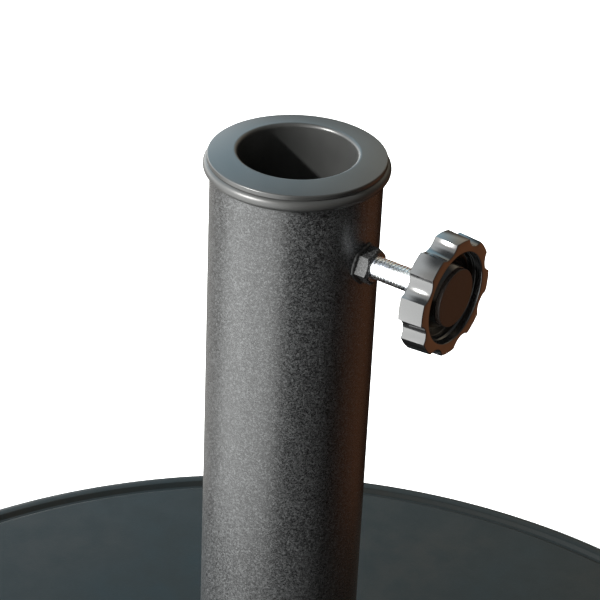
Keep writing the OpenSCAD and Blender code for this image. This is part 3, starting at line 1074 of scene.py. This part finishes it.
@dataclass
class Studio:
    """Camera, floor and light. The room's zones are named as the camera sees them."""

    azimuth: float = 35.04
    aside: float = -0.2665
    distance: float = 0.62739
    height: float = 0.67314
    pitch: float = 30.585
    roll: float = 2.62
    lens: float = 129.8
    film: float = 36.0
    view_end: float = 50.0
    floor_half: float = 6.0
    floor_grey: float = 0.86
    floor_glow: float = 0.62
    key_around: float = 210.0
    key_height: float = 30.0
    key_softness: float = 3.0
    key_power: float = 9.0
    key_colour: Colour = (1.0, 0.985, 0.96)
    sky_left: Colour = (3.0, 3.15, 3.2)
    sky_right: Colour = (0.16, 0.13, 0.1)
    sky_top: Colour = (0.12, 0.14, 0.15)
    sky_behind: Colour = (1.0, 1.6, 1.95)
    sky_far_right: Colour = (0.95, 0.82, 0.62)
    panel: Colour = (1.4, 1.4, 1.35)
    floor_left: Colour = (4.3, 4.35, 4.3)
    floor_behind: Colour = (0.55, 0.53, 0.5)
    floor_front: Colour = (0.008, 0.005, 0.004)
    floor_right: Colour = (0.34, 0.14, 0.065)
    top_zone: Zone = Zone(over=(0.4, 0.75))
    left_zone: Zone = Zone(right=(-0.12, -0.35), under=(0.95, 0.8))
    far_zone: Zone = Zone(ahead=(0.1, 0.8), under=(0.86, 0.7), over=(0.1, 0.38))
    far_right_zone: Zone = Zone(right=(-0.15, 0.3))
    low_left_zone: Zone = Zone(right=(-0.02, -0.35), under=(0.4, 0.22))
    panel_zone: Zone = Zone(right=(0.25, -0.3), ahead=(0.0, -0.35), over=(0.3, 0.5))
    floor_zone: Zone = Zone(under=(0.02, -0.2))
    floor_right_zone: Zone = Zone(right=(0.45, 0.8), ahead=(-0.4, 0.15))
    floor_behind_zone: Zone = Zone(right=(-0.1, -0.3))
    floor_left_zone: Zone = Zone(right=(0.0, -0.5), ahead=(0.45, -0.2))

    def camera(self) -> None:
        """Places the camera on the side of the hand screw, looking down on the tube's mouth."""
        data = bpy.data.cameras.new("view")
        data.lens = self.lens
        data.sensor_width = self.film
        data.clip_end = self.view_end
        camera = bpy.data.objects.new("view", data)
        bpy.context.scene.collection.objects.link(camera)
        around = math.radians(self.azimuth)
        place = (self.distance * math.sin(around), -self.distance * math.cos(around), self.height)
        camera.matrix_world = (
            Matrix.Translation(place)
            @ Matrix.Rotation(around + math.radians(self.aside), 4, "Z")
            @ Matrix.Rotation(math.radians(90 - self.pitch), 4, "X")
            @ Matrix.Rotation(math.radians(self.roll), 4, "Z")
        )
        bpy.context.scene.camera = camera

    def floor(self) -> None:
        """Lays the pale floor, which the camera sees but nothing mirrors."""
        mesh = bmesh.new()
        bmesh.ops.create_grid(mesh, x_segments=1, y_segments=1, size=self.floor_half)
        data = bpy.data.meshes.new("floor")
        mesh.to_mesh(data)
        mesh.free()
        net = Net("floor_white")
        net.set(Base_Color=(self.floor_grey,) * 3, Roughness=0.9)
        net.set(Emission_Color=(1.0, 1.0, 1.0), Emission_Strength=self.floor_glow)
        data.materials.append(net.material)
        floor = bpy.data.objects.new("floor", data)
        bpy.context.scene.collection.objects.link(floor)
        floor.visible_glossy = False
        floor.visible_diffuse = False

    def sun(self) -> None:
        """Hangs the key light, on the camera's left and on its own side of the part."""
        data = bpy.data.lights.new("key", "SUN")
        data.energy = self.key_power
        data.angle = math.radians(self.key_softness)
        data.color = self.key_colour
        lamp = bpy.data.objects.new("key", data)
        bpy.context.scene.collection.objects.link(lamp)
        around, up = math.radians(self.key_around), math.radians(self.key_height)
        level = self.across(math.cos(around), math.sin(around))
        source = level * math.cos(up) + Vector((0, 0, math.sin(up)))
        lamp.matrix_world = source.to_track_quat("Z", "Y").to_matrix().to_4x4()

    def across(self, right: float, ahead: float) -> Vector:
        """A level direction from its parts to the camera's right and straight ahead of it."""
        return Matrix.Rotation(math.radians(self.azimuth), 3, "Z") @ Vector((right, ahead, 0))

    def world(self) -> None:
        """Fills the room with soft light: bright and pale on the left, dim and warm on the right."""
        world = bpy.data.worlds.new("studio")
        bpy.context.scene.world = world
        world.use_nodes = True
        sky = Wiring(world.node_tree)
        look = sky.add("ShaderNodeTexCoord", output="Generated")
        axes = (self.across(1, 0), self.across(0, 1), Vector((0, 0, 1)))
        ways = [self.along(sky, look, axis) for axis in axes]
        far = sky.mix(self.far_right_zone.strength(*ways), self.sky_behind, self.sky_far_right)
        over_sky = [
            (self.top_zone, self.sky_top),
            (self.left_zone, self.sky_left),
            (self.far_zone, far),
            (self.low_left_zone, self.floor_left),
            (self.panel_zone, self.panel),
        ]
        over_floor = [
            (self.floor_right_zone, self.floor_right),
            (self.floor_behind_zone, self.floor_behind),
            (self.floor_left_zone, self.floor_left),
        ]
        high = self.layered(sky, ways, self.sky_right, over_sky)
        ground = self.layered(sky, ways, self.floor_front, over_floor)
        colour = sky.mix(self.floor_zone.strength(*ways), high, ground)
        seen = sky.add("ShaderNodeLightPath", output="Is Camera Ray")
        room = sky.add("ShaderNodeBackground", {}, {"Color": colour})
        plain = sky.add("ShaderNodeBackground", {}, {"Color": (1.0, 1.0, 1.0)})
        both = sky.add("ShaderNodeMixShader", {}, {0: seen, 1: room, 2: plain})
        output = sky.tree.nodes.new("ShaderNodeOutputWorld")
        sky.feed(output.inputs["Surface"], both)

    @staticmethod
    def layered(sky: Wiring, ways: Sequence[Value], ground: Colour,
                layers: Sequence[tuple[Zone, Value | Colour]]) -> Value | Colour:
        """Lays coloured zones over a ground colour, one after another.

        Args:
            sky: the world's node tree.
            ways: how far the direction points right, ahead and up.
            ground: the colour outside all zones.
            layers: each zone with its colour.

        Returns:
            The colour.
        """
        colour = ground
        for zone, tint in layers:
            colour = sky.mix(zone.strength(*ways), colour, tint)
        return colour

    @staticmethod
    def along(sky: Wiring, look: Value, way: Vector) -> Value:
        """How far a direction points along another one, from -1 to 1."""
        inputs = {0: look, 1: tuple(way)}
        return sky.add("ShaderNodeVectorMath", {"operation": "DOT_PRODUCT"}, inputs, "Value")

    def build(self) -> None:
        """Builds the studio."""
        self.camera()
        self.floor()
        self.world()
        self.sun()


def main() -> None:
    """Builds every sub-assembly in order, then the studio."""
    logging.basicConfig(level=logging.INFO, format="%(name)s: %(message)s")
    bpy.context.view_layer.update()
    BallastDisc().build()
    TubeFoot().build()
    TubeMouth().build()
    WeldedNut().build()
    HandScrew().build()
    Studio().build()
    bpy.context.scene.view_settings.view_transform = "Standard"


if __name__ == "__main__":
    main()
